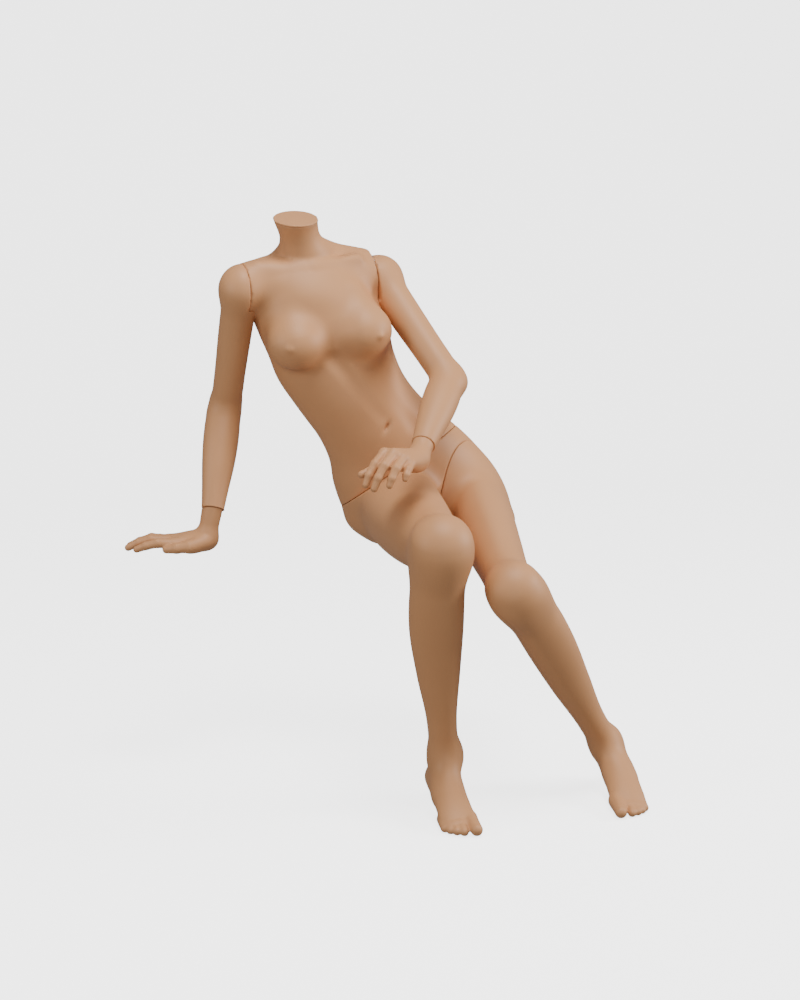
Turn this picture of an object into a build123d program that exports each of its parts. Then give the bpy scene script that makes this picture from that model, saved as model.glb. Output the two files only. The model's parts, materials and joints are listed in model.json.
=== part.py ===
from build123d import *
import os
from math import cos, exp, pi, radians, sin, tan

os.makedirs("parts", exist_ok=True)

# A seated, headless full-size mannequin. Millimetres, +Z up, it faces -Y and its left is +X.
# The seat plane is z = 0, and the origin lies on it under the middle of the hips.

# Moulded shell
WALL = 4.0
END_WALL = 6.0
HALF_GAP = 0.3
TRUNK_POINTS = 12
LIMB_POINTS = 8
FLOOR_Z = -421.4

# Joint centres
RIGHT_SHOULDER = Vector(-374, -45, 493)
LEFT_SHOULDER = Vector(-88, 35, 505)
RIGHT_ELBOW = Vector(-393, 45, 256)
LEFT_ELBOW = Vector(0, -122, 321)
RIGHT_WRIST = Vector(-431, -52, 43)
LEFT_WRIST = Vector(-85, -290, 207)
RIGHT_HIP = Vector(-88, 50, 88)
LEFT_HIP = Vector(88, 50, 94)
RIGHT_KNEE = Vector(-66, -429, 74)
LEFT_KNEE = Vector(63, -417, -10)
RIGHT_ANKLE = Vector(-34, -302, -330)
LEFT_ANKLE = Vector(272, -252, -338)
RIGHT_HEEL = Vector(-44, -248, FLOOR_Z)
LEFT_HEEL = Vector(284, -200, FLOOR_Z)

# Seam planes: their normals point away from the torso, or down the limb
SHOULDER_LINE = (LEFT_SHOULDER - RIGHT_SHOULDER).normalized()
CHEST = Vector(-243, -9, 498)
SEAM_HALF_WIDTH = 126.0
RIGHT_SHOULDER_SEAM = Plane(
    origin=CHEST - SHOULDER_LINE * SEAM_HALF_WIDTH, x_dir=(0, 0, 1), z_dir=-SHOULDER_LINE
)
LEFT_SHOULDER_SEAM = Plane(
    origin=CHEST + SHOULDER_LINE * SEAM_HALF_WIDTH, x_dir=(0, 0, 1), z_dir=SHOULDER_LINE
)
WAIST_SEAM = Plane(origin=(-72, 0, 144), x_dir=(0.825, 0.0, 0.564), z_dir=(-0.556, 0.172, 0.813))
LEG_SEAM = Plane(origin=(51, -5, 90), x_dir=(0.113, -0.089, 0.979), z_dir=(0.778, -0.611, -0.145))
WRIST_SEAM_REACH = 40.0


def wrist_seam(elbow, wrist):
    """Plane square to the forearm, a little above the wrist, facing the hand."""
    along = (wrist - elbow).normalized()
    return Plane(origin=wrist - along * WRIST_SEAM_REACH, x_dir=(1, 0, 0), z_dir=along)


RIGHT_WRIST_SEAM = wrist_seam(RIGHT_ELBOW, RIGHT_WRIST)
LEFT_WRIST_SEAM = wrist_seam(LEFT_ELBOW, LEFT_WRIST)


# Cross-sections and lofts. A station is (centre, along, facing, half_widths), with half_widths
# to the facing side, the opposite side, the left of facing and the right of facing.


def outline(station, inset=0.0, bust=0.0, point_count=LIMB_POINTS):
    """Closed smooth cross-section at a station, made smaller all round by the inset."""
    centre, along, facing, half_widths = station
    front, back, left, right = [width - inset for width in half_widths]
    across = facing - along * facing.dot(along)
    points = []
    for step in range(point_count):
        angle = 2 * pi * step / point_count
        x = (front if cos(angle) > 0 else back) * cos(angle)
        y = (left if sin(angle) > 0 else right) * sin(angle)
        if cos(angle) > 0:
            x += bust * (exp(-(((y - BREAST_SIDE) / BREAST_SPREAD) ** 2)))
            x += bust * (exp(-(((y + BREAST_SIDE) / BREAST_SPREAD) ** 2)))
        points.append((x, y))
    with BuildSketch(Plane(origin=centre, x_dir=across, z_dir=along)) as section:
        with BuildLine():
            Spline(*points, periodic=True)
        make_face()
    return section.sketch


def outlines(stations, inset=0.0):
    """Cross-sections at every station of a limb."""
    return [outline(station, inset) for station in stations]


def limb(points, trims, facing, rows):
    """Stations along straight bones joined by round bends.

    A row is (place, fraction, half_widths): an even place 0, 2, 4 is a straight bone and an odd
    place 1, 3 is the bend after it."""
    bones = [(end - start).normalized() for start, end in zip(points, points[1:])]
    reach = [0.0, *trims, 0.0]
    stations = []
    for place, fraction, half_widths in rows:
        index = place // 2
        along = bones[index]
        if place % 2 == 0:
            start = points[index] + along * reach[index]
            end = points[index + 1] - along * reach[index + 1]
            centre = start + (end - start) * fraction
        else:
            turn = along.get_angle(bones[index + 1])
            inward = (bones[index + 1] - along * cos(radians(turn))).normalized()
            radius = reach[index + 1] / tan(radians(turn / 2))
            hub = points[index + 1] - along * reach[index + 1] + inward * radius
            angle = radians(turn * fraction)
            centre = hub + (along * sin(angle) - inward * cos(angle)) * radius
            along = along * cos(angle) + inward * sin(angle)
        stations.append((centre, along, facing, half_widths))
    return stations


# Trunk, from the seat to the neck, in level sections: centre, turn to the left, half-widths
# to the front, back, left and right, and how far the breasts stand out
BREAST_SIDE = 60.0
BREAST_SPREAD = 34.0
TRUNK = [
    ((-15, 15, -8), 0, (66, 80, 100, 96), 0),
    ((-8, 12, 20), 0, (88, 108, 148, 148), 0),
    ((-22, 10, 70), 0, (90, 112, 160, 160), 0),
    ((-36, 8, 112), 0, (90, 108, 158, 160), 0),
    ((-56, 4, 160), 1, (88, 100, 154, 149), 0),
    ((-88, 0, 205), 2, (84, 90, 142, 136), 0),
    ((-118, -2, 240), 3, (81, 84, 128, 126), 0),
    ((-142, -4, 268), 4, (80, 80, 118, 119), 0),
    ((-176, -4, 312), 5, (82, 80, 116, 118), 0),
    ((-199, -4, 360), 6, (88, 84, 118, 118), 4),
    ((-212, -4, 400), 7, (92, 88, 124, 122), 38),
    ((-224, -4, 440), 9, (90, 90, 128, 126), 16),
    ((-236, -7, 478), 13, (82, 88, 140, 140), 0),
    ((-241, -8, 508), 15, (70, 80, 142, 142), 0),
    ((-243, -9, 530), 15, (58, 70, 120, 120), 0),
    ((-244, -9, 548), 15, (50, 60, 90, 90), 0),
    ((-246, -10, 564), 12, (44, 50, 58, 58), 0),
    ((-253, -17, 582), 8, (40, 42, 40, 40), 0),
]
NECK_MIDDLE = Vector(-259, -28, 596)
NECK_MIDDLE_AXIS = Vector(0, -0.15, 0.989)
NECK_MIDDLE_HALF_WIDTHS = (39, 40, 38, 38)
NECK_TOP = Vector(-267, -39, 609)
NECK_AXIS = Vector(0, -0.284, 0.959)
NECK_HALF_WIDTHS = (41, 41, 40, 40)


def trunk_outlines(inset=0.0):
    sections = []
    for centre, turn, half_widths, bust in TRUNK:
        facing = Vector(sin(radians(turn)), -cos(radians(turn)), 0)
        station = (Vector(*centre), Vector(0, 0, 1), facing, half_widths)
        sections.append(outline(station, inset, bust, TRUNK_POINTS))
    neck_stations = [
        (NECK_MIDDLE, NECK_MIDDLE_AXIS, Vector(0, -1, 0), NECK_MIDDLE_HALF_WIDTHS),
        (NECK_TOP, NECK_AXIS, Vector(0, -1, 0), NECK_HALF_WIDTHS),
    ]
    for station in neck_stations:
        sections.append(outline(station, inset, 0.0, TRUNK_POINTS))
    return sections


# Legs: fraction of the bone from its upper joint, then half-widths to the shin side, the calf
# side, the right and the left. The thigh and the shin overlap at the bent knee.
THIGH_ROWS = [
    (0.00, (60, 74, 62, 62)),
    (0.30, (70, 80, 72, 70)),
    (0.55, (65, 74, 67, 64)),
    (0.78, (58, 64, 58, 56)),
    (0.92, (54, 56, 52, 50)),
    (1.02, (49, 48, 47, 45)),
    (1.09, (34, 33, 34, 32)),
]
SHIN_ROWS = [
    (-0.10, (34, 30, 34, 32)),
    (-0.03, (47, 42, 46, 44)),
    (0.07, (51, 47, 48, 46)),
    (0.20, (46, 51, 46, 45)),
    (0.38, (42, 52, 46, 46)),
    (0.62, (35, 40, 37, 36)),
    (0.85, (27, 28, 27, 26)),
    (1.02, (27, 30, 26, 26)),
]


def bone_stations(start, end, facing, rows):
    """Stations along one straight bone."""
    along = (end - start).normalized()
    return [(start + (end - start) * fraction, along, facing, widths) for fraction, widths in rows]


def leg_stations(hip, knee, ankle):
    facing = (knee - hip).normalized() - (ankle - knee).normalized()
    thigh = bone_stations(hip, knee, facing, THIGH_ROWS)
    shin = bone_stations(knee, ankle, facing, SHIN_ROWS)
    return thigh, shin


RIGHT_LEG = leg_stations(RIGHT_HIP, RIGHT_KNEE, RIGHT_ANKLE)
LEFT_LEG = leg_stations(LEFT_HIP, LEFT_KNEE, LEFT_ANKLE)

# Feet: distance from the heel, height of the sole and of the instep, and half-width
FOOT_ROWS = [
    (0, 30, 62, 13),
    (12, 21, 84, 23),
    (36, 19, 100, 28),
    (72, 17, 104, 30),
    (112, 12, 76, 33),
    (150, 6, 56, 37),
    (190, 0, 38, 39),
    (218, 0, 27, 35),
    (236, 3, 17, 24),
]


def foot_stations(heel, toe_out):
    """Upright stations from the heel to the toes, turned out to the mannequin's left."""
    along = Vector(sin(radians(toe_out)), -cos(radians(toe_out)), 0)
    stations = []
    for distance, sole, instep, half_width in FOOT_ROWS:
        centre = heel + along * distance + Vector(0, 0, (sole + instep) / 2)
        half_height = (instep - sole) / 2
        half_widths = (half_height, half_height, half_width, half_width)
        stations.append((centre, along, Vector(0, 0, 1), half_widths))
    return stations


RIGHT_FOOT = foot_stations(RIGHT_HEEL, 1.5)
LEFT_FOOT = foot_stations(LEFT_HEEL, -2.0)

# Arms. Right: half-widths to the back, the front, the body side and the outside
ARM_ROOT = 40.0
LEFT_SHOULDER_TRIM = 40.0
RIGHT_SHOULDER_TRIM = 50.0
ELBOW_TRIM = 30.0
RIGHT_ARM = limb(
    [
        RIGHT_SHOULDER_SEAM.origin + SHOULDER_LINE * ARM_ROOT,
        RIGHT_SHOULDER + Vector(-3, -6, 8),
        RIGHT_ELBOW,
        RIGHT_WRIST,
    ],
    [RIGHT_SHOULDER_TRIM, ELBOW_TRIM],
    Vector(0, 1, 0),
    [
        (0, 0.00, (42, 40, 48, 46)),
        (1, 0.00, (42, 40, 42, 47)),
        (1, 0.35, (41, 39, 31, 55)),
        (1, 0.70, (40, 38, 29, 57)),
        (1, 1.00, (38, 37, 30, 46)),
        (2, 0.35, (35, 33, 30, 34)),
        (2, 0.70, (31, 30, 29, 30)),
        (3, 0.00, (30, 28, 30, 30)),
        (3, 0.50, (36, 27, 31, 32)),
        (3, 1.00, (33, 29, 33, 33)),
        (4, 0.30, (32, 30, 33, 32)),
        (4, 0.65, (25, 24, 26, 26)),
        (4, 0.85, (19, 19, 21, 20)),
        (4, 1.00, (19, 19, 21, 20)),
    ],
)
# Left: half-widths to the underside, the upper side, the outside and the body side
LEFT_ARM = limb(
    [
        LEFT_SHOULDER_SEAM.origin - SHOULDER_LINE * ARM_ROOT,
        LEFT_SHOULDER + Vector(2, 1, 3),
        LEFT_ELBOW,
        LEFT_WRIST,
    ],
    [LEFT_SHOULDER_TRIM, ELBOW_TRIM],
    Vector(0.1, 0.75, -0.6),
    [
        (0, 0.00, (45, 43, 42, 44)),
        (0, 1.00, (44, 43, 43, 42)),
        (1, 0.35, (41, 41, 50, 33)),
        (1, 0.70, (40, 40, 52, 32)),
        (1, 1.00, (38, 38, 43, 31)),
        (2, 0.35, (34, 34, 34, 30)),
        (2, 0.70, (31, 31, 31, 29)),
        (3, 0.00, (30, 29, 31, 28)),
        (3, 0.50, (31, 30, 36, 27)),
        (3, 1.00, (32, 31, 34, 29)),
        (4, 0.30, (32, 31, 33, 31)),
        (4, 0.65, (26, 25, 26, 25)),
        (4, 0.85, (21, 20, 20, 19)),
        (4, 1.00, (20, 20, 19, 19)),
    ],
)

# Hands: palm from the wrist seam to the knuckles, then fingers as (knuckle, middle joint, tip, root
# radius, tip radius)
RIGHT_PALM = limb(
    [RIGHT_WRIST_SEAM.origin - RIGHT_WRIST_SEAM.z_dir * 8, RIGHT_WRIST + Vector(2, 6, -21), Vector(-512, -14, 20)],
    [27.0],
    Vector(-1, -0.3, 1.0),
    [
        (0, 0.00, (19, 19, 21, 20)),
        (0, 0.80, (18, 19, 22, 21)),
        (1, 0.30, (18, 24, 24, 23)),
        (1, 0.70, (16, 26, 29, 27)),
        (1, 1.00, (14, 20, 33, 31)),
        (2, 0.40, (13, 15, 38, 36)),
        (2, 1.00, (11, 11, 37, 34)),
    ],
)
RIGHT_FINGERS = [
    ((-496, -42, 17), (-538, -46, 21), (-565, -37, 7), 9.5, 6.5),
    ((-503, -24, 19), (-549, -26, 23), (-581, -20, 8), 9.8, 6.8),
    ((-503, -4, 18), (-547, -3, 22), (-577, -1, 8), 9.4, 6.4),
    ((-497, 13, 15), (-533, 17, 17), (-556, 19, 7), 8.2, 5.6),
    ((-452, -56, 17), (-485, -66, 14), (-512, -50, 9), 12.5, 8.0),
]
LEFT_PALM = limb(
    [LEFT_WRIST_SEAM.origin - LEFT_WRIST_SEAM.z_dir * 8, LEFT_WRIST + Vector(-4, -12, -8), Vector(-130, -350, 212)],
    [22.0],
    Vector(0, 0, 1),
    [
        (0, 0.00, (19, 19, 20, 20)),
        (0, 0.70, (18, 18, 21, 21)),
        (1, 0.40, (16, 20, 24, 25)),
        (1, 1.00, (14, 18, 30, 30)),
        (2, 0.50, (13, 14, 36, 36)),
        (2, 1.00, (11, 11, 36, 36)),
    ],
)
LEFT_FINGERS = [
    ((-150, -338, 214), (-174, -364, 197), (-185, -352, 172), 9.0, 6.4),
    ((-136, -349, 213), (-160, -375, 195), (-170, -363, 166), 9.2, 6.6),
    ((-121, -356, 209), (-138, -378, 194), (-144, -367, 172), 8.8, 6.2),
    ((-106, -352, 206), (-114, -370, 193), (-117, -375, 176), 7.4, 5.4),
    ((-129, -306, 201), (-161, -314, 198), (-187, -324, 192), 11.0, 7.0),
]


def finger_outlines(finger):
    """Round sections of a bent, tapered finger with a blunt tip."""
    knuckle, middle, tip = [Vector(*point) for point in finger[:3]]
    root_radius, tip_radius = finger[3:]
    middle_radius = (root_radius + tip_radius) / 2
    turn = (tip - knuckle).normalized()
    first = (middle - knuckle).normalized()
    last = (tip - middle).normalized()
    places = [
        (knuckle - first * root_radius, first, root_radius * 0.9),
        (knuckle, first, root_radius),
        (middle, turn, middle_radius * 1.05),
        (tip - last * tip_radius, last, tip_radius),
        (tip - last * tip_radius * 0.25, last, tip_radius * 0.62),
    ]
    side = Vector(0, 0, 1) if abs(turn.Z) < 0.8 else Vector(0, 1, 0)
    sections = []
    for centre, along, radius in places:
        sections.append(outline((centre, along, side, (radius, radius, radius, radius))))
    return sections


# Twist lock at a seam: a recessed socket plate with a slotted hole in the fixed shell, and a
# plate with a post and cross-bar in the shell that comes off
TWIST_LOCKS = {
    "waist": dict(plate=62.0, thick=3.0, post=10.0, bar=26.0, bar_wide=14.0, bar_high=5.0, screws=50.0),
    "shoulder": dict(plate=32.0, thick=3.0, post=7.0, bar=15.0, bar_wide=9.0, bar_high=4.0, screws=25.0),
    "wrist": dict(plate=13.5, thick=1.5, post=3.5, bar=7.0, bar_wide=4.5, bar_high=2.0, screws=0.0),
}
LOCK_CLEARANCE = 0.4
BAR_GAP = 0.5
SOCKET_WALL_MARGIN = 3.0
SCREW_R = 2.0
SCREW_HEAD_R = 3.6
SCREW_HEAD_HIGH = 1.6
SCREW_LONG = 7.0
SCREWS_PER_PLATE = 4
SCREW_TURN = 45.0


def socket_cut(seam, size):
    """Recess for the socket plate and the well behind it, to be cut from the fixed shell."""
    face = -HALF_GAP
    with BuildPart() as cut:
        with BuildSketch(seam.offset(face)):
            Circle(size["plate"])
        extrude(amount=-size["thick"])
        with BuildSketch(seam.offset(face)):
            Circle(size["bar"] + SOCKET_WALL_MARGIN)
        extrude(amount=-END_WALL - size["bar_high"] - SOCKET_WALL_MARGIN)
        if size["screws"]:
            with BuildSketch(seam.offset(face)):
                with PolarLocations(size["screws"], SCREWS_PER_PLATE, start_angle=SCREW_TURN):
                    Circle(SCREW_R)
            extrude(amount=-SCREW_LONG - SCREW_HEAD_HIGH)
    return cut.part


def stud_cut(seam, size):
    """Recess for the stud plate in the shell that comes off."""
    face = HALF_GAP
    with BuildPart() as cut:
        with BuildSketch(seam.offset(face)):
            Circle(size["plate"])
        extrude(amount=size["thick"])
        if size["screws"]:
            with BuildSketch(seam.offset(face)):
                with PolarLocations(size["screws"], SCREWS_PER_PLATE, start_angle=SCREW_TURN):
                    Circle(SCREW_R)
            extrude(amount=SCREW_LONG + SCREW_HEAD_HIGH)
    return cut.part


def socket_plate(seam, size):
    """Round plate with a hole and two slots that let the cross-bar in."""
    with BuildPart() as plate:
        with BuildSketch(seam.offset(-HALF_GAP)):
            Circle(size["plate"])
            Circle(size["post"] + LOCK_CLEARANCE, mode=Mode.SUBTRACT)
            Rectangle(
                2 * (size["bar"] + LOCK_CLEARANCE),
                size["bar_wide"] + 2 * LOCK_CLEARANCE,
                mode=Mode.SUBTRACT,
            )
        extrude(amount=-size["thick"])
        if size["screws"]:
            with BuildSketch(seam.offset(-HALF_GAP)):
                with PolarLocations(size["screws"], SCREWS_PER_PLATE, start_angle=SCREW_TURN):
                    Circle(SCREW_HEAD_R)
            extrude(amount=-SCREW_HEAD_HIGH, mode=Mode.SUBTRACT)
            with BuildSketch(seam.offset(-HALF_GAP)):
                with PolarLocations(size["screws"], SCREWS_PER_PLATE, start_angle=SCREW_TURN):
                    Circle(SCREW_R)
            extrude(amount=-size["thick"], mode=Mode.SUBTRACT)
    return plate.part


def stud(seam, size, locked_turn):
    """Round plate with a post through the socket and a cross-bar behind it, turned to lock."""
    depth = -HALF_GAP - size["thick"] - BAR_GAP
    with BuildPart() as piece:
        with BuildSketch(seam.offset(HALF_GAP)):
            Circle(size["plate"])
        extrude(amount=size["thick"])
        if size["screws"]:
            with BuildSketch(seam.offset(HALF_GAP)):
                with PolarLocations(size["screws"], SCREWS_PER_PLATE, start_angle=SCREW_TURN):
                    Circle(SCREW_HEAD_R)
            extrude(amount=SCREW_HEAD_HIGH, mode=Mode.SUBTRACT)
            with BuildSketch(seam.offset(HALF_GAP)):
                with PolarLocations(size["screws"], SCREWS_PER_PLATE, start_angle=SCREW_TURN):
                    Circle(SCREW_R)
            extrude(amount=size["thick"], mode=Mode.SUBTRACT)
        with BuildSketch(seam.offset(HALF_GAP)):
            Circle(size["post"])
        extrude(amount=depth - HALF_GAP)
        with BuildSketch(seam.offset(depth)):
            Rectangle(2 * size["bar"] - 1, size["bar_wide"], rotation=locked_turn)
        extrude(amount=-size["bar_high"])
    return piece.part


def screws(seam, size, side):
    """The plate's screws, heads flush with the plate. side is -1 in the fixed shell."""
    with BuildPart() as group:
        with BuildSketch(seam.offset(side * HALF_GAP)):
            with PolarLocations(size["screws"], SCREWS_PER_PLATE, start_angle=SCREW_TURN):
                Circle(SCREW_HEAD_R)
        extrude(amount=side * SCREW_HEAD_HIGH)
        with BuildSketch(seam.offset(side * (HALF_GAP + SCREW_HEAD_HIGH))):
            with PolarLocations(size["screws"], SCREWS_PER_PLATE, start_angle=SCREW_TURN):
                Circle(SCREW_R)
        extrude(amount=side * SCREW_LONG)
    return group.part


# Keyhole fitting of the left leg: the leg drops on two headed studs
LEG_PLATE_LONG = 120.0
LEG_PLATE_WIDE = 64.0
LEG_PLATE_THICK = 3.0
LEG_STUD_SPACING = 56.0
LEG_STUD_R = 5.0
LEG_HEAD_R = 9.0
LEG_HEAD_HIGH = 4.0
LEG_LIFT = 18.0
LEG_SCREW_X = 52.0
LEG_SCREW_Y = 24.0
LEG_STUDS = [(-LEG_STUD_SPACING / 2, 0), (LEG_STUD_SPACING / 2, 0)]


def leg_well(clearance):
    """Sketch of the room that the stud heads need as the leg lifts off."""
    with BuildSketch(LEG_SEAM.offset(-HALF_GAP)) as well:
        with Locations(*[(x + LEG_LIFT / 2, y) for x, y in LEG_STUDS]):
            SlotCenterToCenter(LEG_LIFT, 2 * (LEG_HEAD_R + clearance))
    return well.sketch


def leg_screw_holes(offset, radius):
    with BuildSketch(LEG_SEAM.offset(offset)) as holes:
        with GridLocations(2 * LEG_SCREW_X, 2 * LEG_SCREW_Y, 2, 2):
            Circle(radius)
    return holes.sketch


def leg_recess(side):
    """Recess for a leg plate and its screws. side is -1 in the pelvis."""
    with BuildPart() as cut:
        with BuildSketch(LEG_SEAM.offset(side * HALF_GAP)):
            RectangleRounded(LEG_PLATE_LONG, LEG_PLATE_WIDE, 10)
        extrude(amount=side * LEG_PLATE_THICK)
        extrude(leg_screw_holes(side * HALF_GAP, SCREW_R), amount=side * (SCREW_LONG + SCREW_HEAD_HIGH))
        if side < 0:
            extrude(leg_well(2.0), amount=side * (END_WALL + LEG_HEAD_HIGH + 3))
    return cut.part


SHOULDER_BLOCK_UP = 8.0
SHOULDER_BLOCK_HIGH = 144.0
SHOULDER_BLOCK_DEEP = 230.0
SHOULDER_BLOCK_REACH = 70.0

# --- Solid and hollow forms that several shells are cut from


def shell_form(stations, inset=0.0):
    with BuildPart() as form:
        loft(outlines(stations, inset))
    return form.part


def trunk_form(inset=0.0):
    with BuildPart() as form:
        loft(trunk_outlines(inset))
    return form.part


def leg_form(leg, foot, inset=0.0):
    """Thigh, shin and foot as one solid."""
    with BuildPart() as form:
        for stations in (*leg, foot):
            loft(outlines(stations, inset))
    return form.part


def shoulder_block(seam, offset, reach):
    """Block at a shoulder from a plane beside its seam outwards, or inwards if reach is negative."""
    with BuildPart() as block:
        with BuildSketch(seam.offset(offset)):
            with Locations((SHOULDER_BLOCK_UP, 0)):
                Rectangle(SHOULDER_BLOCK_HIGH, SHOULDER_BLOCK_DEEP)
        extrude(amount=reach)
    return block.part


def keep_side(part, plane, keep):
    with BuildPart() as piece:
        add(part)
        split(bisect_by=plane, keep=keep)
    return piece.part


trunk_solid = trunk_form()
trunk_hollow = trunk_form(WALL)
lower_trunk = keep_side(trunk_solid, WAIST_SEAM.offset(-HALF_GAP), Keep.BOTTOM)
lower_hollow = keep_side(trunk_hollow, WAIST_SEAM.offset(-HALF_GAP - END_WALL), Keep.BOTTOM)

# Torso
with BuildPart() as torso_shell:
    add(trunk_solid)
    split(bisect_by=WAIST_SEAM.offset(HALF_GAP), keep=Keep.TOP)
    for seam in (RIGHT_SHOULDER_SEAM, LEFT_SHOULDER_SEAM):
        add(shoulder_block(seam, -HALF_GAP, SHOULDER_BLOCK_REACH), mode=Mode.SUBTRACT)
with BuildPart() as torso_hollow:
    add(trunk_hollow)
    split(bisect_by=WAIST_SEAM.offset(HALF_GAP + END_WALL), keep=Keep.TOP)
    for seam in (RIGHT_SHOULDER_SEAM, LEFT_SHOULDER_SEAM):
        block = shoulder_block(seam, -HALF_GAP - END_WALL, SHOULDER_BLOCK_REACH)
        add(block, mode=Mode.SUBTRACT)
NECK_PLANE = Plane(origin=NECK_TOP, x_dir=(1, 0, 0), z_dir=NECK_AXIS)
CAP_THICK = 3.0
CAP_LIP_R = 21.0
CAP_LIP = 4.0
CAP_LIP_HIGH = 6.0
with BuildPart() as cap_seat:
    with BuildSketch(NECK_PLANE.offset(1)):
        Circle(NECK_HALF_WIDTHS[0] + 10)
    extrude(amount=-CAP_THICK - 1)
with BuildPart() as torso:
    add(torso_shell.part)
    add(torso_hollow.part, mode=Mode.SUBTRACT)
    add(cap_seat.part, mode=Mode.SUBTRACT)
    add(stud_cut(WAIST_SEAM, TWIST_LOCKS["waist"]), mode=Mode.SUBTRACT)
    add(socket_cut(RIGHT_SHOULDER_SEAM, TWIST_LOCKS["shoulder"]), mode=Mode.SUBTRACT)
    add(socket_cut(LEFT_SHOULDER_SEAM, TWIST_LOCKS["shoulder"]), mode=Mode.SUBTRACT)
torso.part.label = "torso_shell"
export_step(torso.part, "parts/torso_shell.step")

# Neck cap: a lid with a lip that drops inside the neck
with BuildPart() as neck_cap:
    add(trunk_solid)
    split(bisect_by=NECK_PLANE.offset(-CAP_THICK), keep=Keep.TOP)
    with BuildSketch(NECK_PLANE.offset(-CAP_THICK)):
        Circle(CAP_LIP_R)
        Circle(CAP_LIP_R - CAP_LIP, mode=Mode.SUBTRACT)
    extrude(amount=-CAP_LIP_HIGH)
neck_cap.part.label = "neck_cap"
export_step(neck_cap.part, "parts/neck_cap.step")

# Pelvis with the right leg
with BuildPart() as pelvis_right_leg:
    add(lower_trunk)
    split(bisect_by=LEG_SEAM.offset(-HALF_GAP), keep=Keep.BOTTOM)
    add(leg_form(RIGHT_LEG, RIGHT_FOOT))
    split(bisect_by=WAIST_SEAM.offset(-HALF_GAP), keep=Keep.BOTTOM)
with BuildPart() as pelvis_hollow:
    add(lower_hollow)
    split(bisect_by=LEG_SEAM.offset(-HALF_GAP - END_WALL), keep=Keep.BOTTOM)
    add(leg_form(RIGHT_LEG, RIGHT_FOOT, WALL))
    split(bisect_by=WAIST_SEAM.offset(-HALF_GAP - END_WALL), keep=Keep.BOTTOM)
SEAT_DEPTH = 100.0
with BuildPart() as seat_cut:
    with BuildSketch(Plane.XY):
        with Locations((-40, 10)):
            Rectangle(360, 320)
    extrude(amount=-SEAT_DEPTH)
with BuildPart() as seat_skin:
    with BuildSketch(Plane.XY):
        with Locations((-40, 10)):
            Rectangle(360, 320)
    extrude(amount=WALL)
with BuildPart() as pelvis:
    add(pelvis_right_leg.part)
    add(pelvis_hollow.part - seat_skin.part, mode=Mode.SUBTRACT)
    add(seat_cut.part, mode=Mode.SUBTRACT)
    add(socket_cut(WAIST_SEAM, TWIST_LOCKS["waist"]), mode=Mode.SUBTRACT)
    add(leg_recess(-1), mode=Mode.SUBTRACT)
pelvis.part.label = "pelvis_right_leg_shell"
export_step(pelvis.part, "parts/pelvis_right_leg_shell.step")

# Left leg, kept clear of the right thigh at the crotch
CROTCH_PLANE = Plane.YZ.offset(1.0)
with BuildPart() as left_leg:
    add(lower_trunk)
    add(leg_form(LEFT_LEG, LEFT_FOOT))
    split(bisect_by=LEG_SEAM.offset(HALF_GAP), keep=Keep.TOP)
    split(bisect_by=CROTCH_PLANE, keep=Keep.TOP)
with BuildPart() as left_leg_hollow:
    add(lower_hollow)
    add(leg_form(LEFT_LEG, LEFT_FOOT, WALL))
    split(bisect_by=LEG_SEAM.offset(HALF_GAP + END_WALL), keep=Keep.TOP)
with BuildPart() as left_leg_shell:
    add(left_leg.part)
    add(left_leg_hollow.part, mode=Mode.SUBTRACT)
    add(leg_recess(1), mode=Mode.SUBTRACT)
left_leg_shell.part.label = "left_leg_shell"
export_step(left_leg_shell.part, "parts/left_leg_shell.step")


def arm_shell(stations, shoulder_seam, wrist_plane):
    """Hollow arm between its shoulder and wrist seams, with the recesses of its fittings."""
    with BuildPart() as hollow:
        add(shell_form(stations, WALL))
        add(
            shoulder_block(shoulder_seam, HALF_GAP + END_WALL, -SHOULDER_BLOCK_REACH),
            mode=Mode.SUBTRACT,
        )
        split(bisect_by=wrist_plane.offset(-HALF_GAP - END_WALL), keep=Keep.BOTTOM)
    with BuildPart() as shell:
        add(shell_form(stations))
        add(shoulder_block(shoulder_seam, HALF_GAP, -SHOULDER_BLOCK_REACH), mode=Mode.SUBTRACT)
        split(bisect_by=wrist_plane.offset(-HALF_GAP), keep=Keep.BOTTOM)
        add(hollow.part, mode=Mode.SUBTRACT)
        add(stud_cut(shoulder_seam, TWIST_LOCKS["shoulder"]), mode=Mode.SUBTRACT)
        add(socket_cut(wrist_plane, TWIST_LOCKS["wrist"]), mode=Mode.SUBTRACT)
    return shell.part


def hand(palm, fingers, wrist_plane):
    """Solid moulded hand, flush with the forearm at the wrist seam."""
    with BuildPart() as piece:
        loft(outlines(palm))
        for finger in fingers:
            loft(finger_outlines(finger))
        split(bisect_by=wrist_plane.offset(HALF_GAP), keep=Keep.TOP)
        split(bisect_by=Plane.XY, keep=Keep.TOP)
        add(stud_cut(wrist_plane, TWIST_LOCKS["wrist"]), mode=Mode.SUBTRACT)
    return piece.part


SIDES = {
    "right": (RIGHT_ARM, RIGHT_PALM, RIGHT_FINGERS, RIGHT_SHOULDER_SEAM, RIGHT_WRIST_SEAM),
    "left": (LEFT_ARM, LEFT_PALM, LEFT_FINGERS, LEFT_SHOULDER_SEAM, LEFT_WRIST_SEAM),
}
for side, (arm_stations, palm, fingers, shoulder_plane, wrist_plane) in SIDES.items():
    arm = arm_shell(arm_stations, shoulder_plane, wrist_plane)
    arm.label = f"{side}_arm_shell"
    export_step(arm, f"parts/{side}_arm_shell.step")
    hand_part = hand(palm, fingers, wrist_plane)
    hand_part.label = f"{side}_hand"
    export_step(hand_part, f"parts/{side}_hand.step")

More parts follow.
